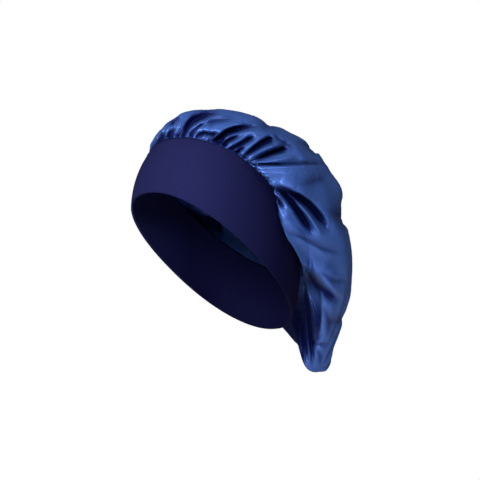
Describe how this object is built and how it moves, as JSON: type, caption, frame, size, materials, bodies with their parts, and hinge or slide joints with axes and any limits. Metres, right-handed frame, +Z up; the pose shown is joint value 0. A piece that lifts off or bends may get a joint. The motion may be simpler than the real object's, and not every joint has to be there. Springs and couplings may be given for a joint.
{
  "type": "satin bonnet",
  "caption": "Satin bonnet with a wide elastic band and a full gathered crown that hangs behind as a soft bag, held in its worn form.",
  "frame": {"origin": "centre of the band's lower rim, where the bonnet sits on a head", "axes": "+Z up as worn, the wearer looks along -Y, the wearer's left side is +X"},
  "size_m": [0.2023, 0.2522, 0.272],
  "materials": {
    "band_knit": "matt navy elastic knit, doubled",
    "satin": "glossy navy blue satin weave"
  },
  "bodies": {
    "root": {"elastic_band": "band_knit", "satin_crown": "satin"}
  },
  "joints": []
}
